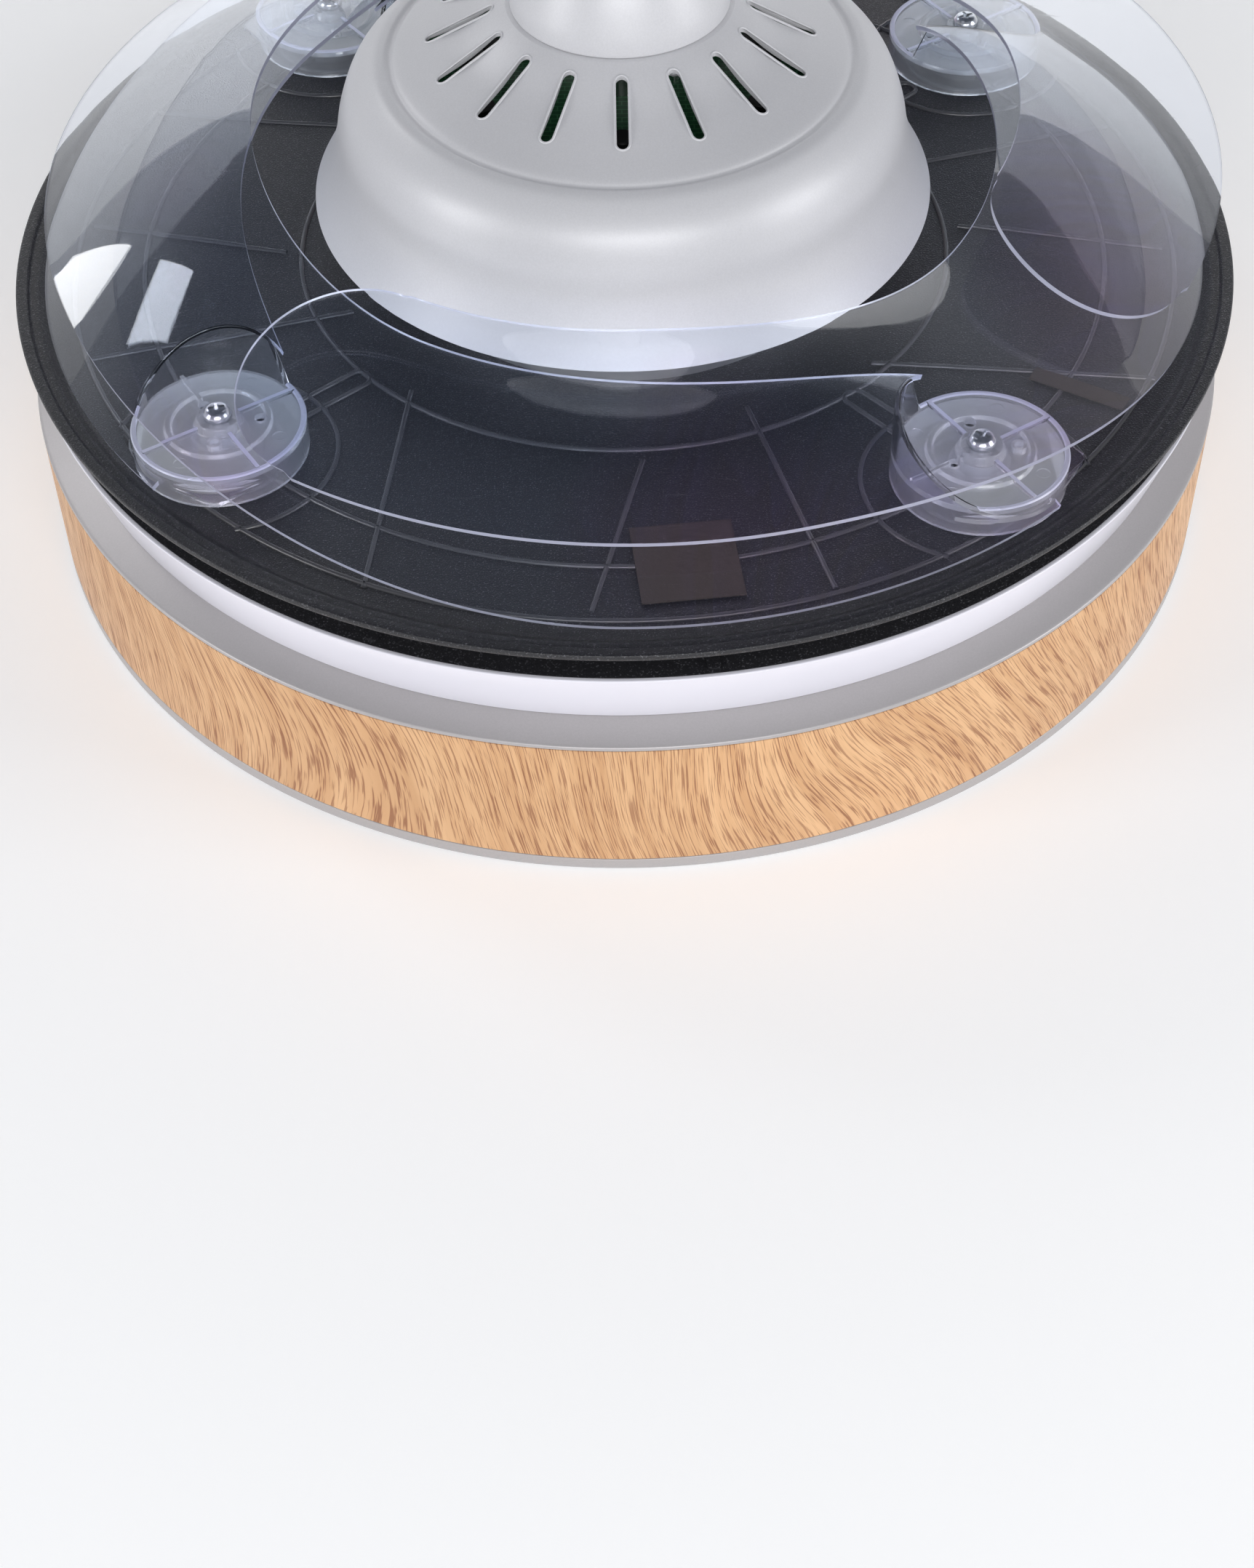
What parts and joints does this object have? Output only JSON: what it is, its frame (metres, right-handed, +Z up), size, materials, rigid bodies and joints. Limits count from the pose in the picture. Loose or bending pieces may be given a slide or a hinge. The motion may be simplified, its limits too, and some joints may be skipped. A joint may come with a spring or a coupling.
{
  "type": "ceiling fan with fold-away blades and drum light",
  "caption": "Ceiling fan with a round wood-grain drum light below and clear curved blades that lie folded on a spinning black tray and swing outwards on pivots when the motor turns.",
  "frame": {"origin": "centre of the drum light's bottom rim", "axes": "+Z up along the motor shaft towards the ceiling, +X to the right and +Y away from the viewer, as the picture shows the drum"},
  "size_m": [0.5, 0.5, 0.4255],
  "materials": {
    "silver_trim": "satin silver paint",
    "wood_print": "satin light wood-grain print",
    "pan_enamel": "white enamel",
    "white_gloss": "glossy white",
    "black_moulding": "matte black",
    "lamp_board_white": "white solder mask on aluminium",
    "chip_yellow": "phosphor resin",
    "driver_white": "matte white case",
    "diffuser_opal": "opal acrylic, smooth",
    "shaft_steel": "turned steel",
    "screw_zinc": "bright zinc plate",
    "board_green": "green solder mask",
    "board_parts_black": "black resin",
    "stator_iron": "laminated electrical steel",
    "coil_copper": "enamelled copper wire",
    "case_metal": "cast aluminium",
    "magnet_grey": "ferrite",
    "bearing_steel": "polished bearing steel",
    "housing_silver": "satin silver paint",
    "ball_black": "black nylon",
    "bracket_zinc": "zinc plate",
    "tray_black": "fine speckled leather grain, black",
    "pad_brown": "brown-grey tape",
    "spring_steel": "spring wire",
    "blade_clear": "clear polished polycarbonate"
  },
  "bodies": {
    "frame": {"ball_pin": "screw_zinc", "bottom_trim": "silver_trim", "canopy": "housing_silver", "canopy_screws": "screw_zinc", "ceiling_bracket": "bracket_zinc", "control_board": "board_green", "control_board_parts": "board_parts_black", "control_board_screws": "screw_zinc", "deck_cover": "black_moulding", "deck_posts": "black_moulding", "diffuser": "diffuser_opal", "downrod": "housing_silver", "drum_pan": "pan_enamel", "hanger_ball": "ball_black", "lamp_board": "lamp_board_white", "lamp_board_screws": "screw_zinc", "lamp_chips": "chip_yellow", "lamp_driver": "driver_white", "lower_bearing_inner_race": "bearing_steel", "lower_spacer": "shaft_steel", "motor_housing": "housing_silver", "motor_shaft": "shaft_steel", "shaft_nut": "screw_zinc", "shaft_washer": "screw_zinc", "shoulder_ring": "silver_trim", "stator_coils": "coil_copper", "stator_core": "stator_iron", "stator_hub": "case_metal", "upper_bearing_inner_race": "bearing_steel", "upper_spacer": "shaft_steel", "white_ring": "white_gloss", "wood_band": "wood_print", "yoke": "shaft_steel", "yoke_cover": "housing_silver", "yoke_pin": "screw_zinc", "yoke_screws": "screw_zinc", "yoke_set_screws": "screw_zinc"},
    "rotor": {"blade_tray": "tray_black", "pivot_screws": "screw_zinc", "return_springs": "spring_steel", "balance_pads": "pad_brown", "tray_screws": "screw_zinc", "motor_case_lower": "case_metal", "motor_case_upper": "case_metal", "magnet_ring": "magnet_grey", "lower_bearing_outer_race": "bearing_steel", "upper_bearing_outer_race": "bearing_steel"},
    "blade_back_right_body": {"blade_back_right": "blade_clear"},
    "blade_back_left_body": {"blade_back_left": "blade_clear"},
    "blade_front_left_body": {"blade_front_left": "blade_clear"},
    "blade_front_right_body": {"blade_front_right": "blade_clear"}
  },
  "joints": [
    {"name": "tray_spin", "type": "hinge", "parent": "frame", "child": "rotor", "pos_m": [0, 0, 0.1369], "axis": [0, 0, 1], "continuous": true},
    {"name": "blade_back_right_swing", "type": "hinge", "parent": "rotor", "child": "blade_back_right_body", "pos_m": [0.15444, 0.13098, 0.1245], "axis": [0, 0, 1], "range_deg": [0, 170], "stiffness_Nm_per_rad": 0.03, "springref_deg": -28.65},
    {"name": "blade_back_left_swing", "type": "hinge", "parent": "rotor", "child": "blade_back_left_body", "pos_m": [-0.13098, 0.15444, 0.1245], "axis": [0, 0, 1], "range_deg": [0, 170], "stiffness_Nm_per_rad": 0.03, "springref_deg": -28.65},
    {"name": "blade_front_left_swing", "type": "hinge", "parent": "rotor", "child": "blade_front_left_body", "pos_m": [-0.15444, -0.13098, 0.1245], "axis": [0, 0, 1], "range_deg": [0, 170], "stiffness_Nm_per_rad": 0.03, "springref_deg": -28.65},
    {"name": "blade_front_right_swing", "type": "hinge", "parent": "rotor", "child": "blade_front_right_body", "pos_m": [0.13098, -0.15444, 0.1245], "axis": [0, 0, 1], "range_deg": [0, 170], "stiffness_Nm_per_rad": 0.03, "springref_deg": -28.65}
  ],
  "couplings": [
    {"joint": "blade_back_right_swing", "follows": "blade_front_left_swing", "ratio": 1},
    {"joint": "blade_back_left_swing", "follows": "blade_front_left_swing", "ratio": 1},
    {"joint": "blade_front_right_swing", "follows": "blade_front_left_swing", "ratio": 1}
  ]
}
